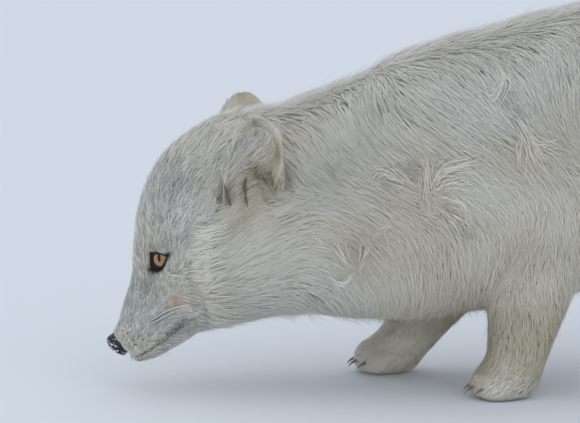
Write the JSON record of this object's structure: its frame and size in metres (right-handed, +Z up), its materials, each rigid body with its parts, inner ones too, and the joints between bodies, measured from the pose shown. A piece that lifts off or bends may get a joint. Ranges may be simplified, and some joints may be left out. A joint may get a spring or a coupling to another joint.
{
  "type": "arctic fox",
  "caption": "Life-size still model of an arctic fox in thick winter coat, standing with its head lowered and nose near the ground.",
  "frame": {"origin": "on the floor, under the middle of the bounding box", "axes": "+Z up, the fox faces -X, its tail trails towards +X, its left side is on -Y"},
  "size_m": [0.8026, 0.1756, 0.2597],
  "materials": {
    "coat": "long soft white winter fur, cream underneath",
    "ear": "short fur with a tan rim",
    "paw": "dense short cream fur",
    "nose": "moist pebbled black skin",
    "eye": "glossy amber iris with an upright slit pupil",
    "claw": "dark horn, satin"
  },
  "bodies": {
    "root": {"head": "coat", "jaw": "coat", "neck": "coat", "chest": "coat", "loin": "coat", "rump": "coat", "nose": "nose", "eye_left": "eye", "eye_right": "eye", "ear_left": "ear", "ear_right": "ear", "foreleg_left": "coat", "foreleg_right": "coat", "forepaw_left": "paw", "forepaw_right": "paw", "hindleg_left": "coat", "hindleg_right": "coat", "hindpaw_left": "paw", "hindpaw_right": "paw", "tail_base": "coat", "tail_middle": "coat", "tail_tip": "coat"}
  },
  "joints": []
}
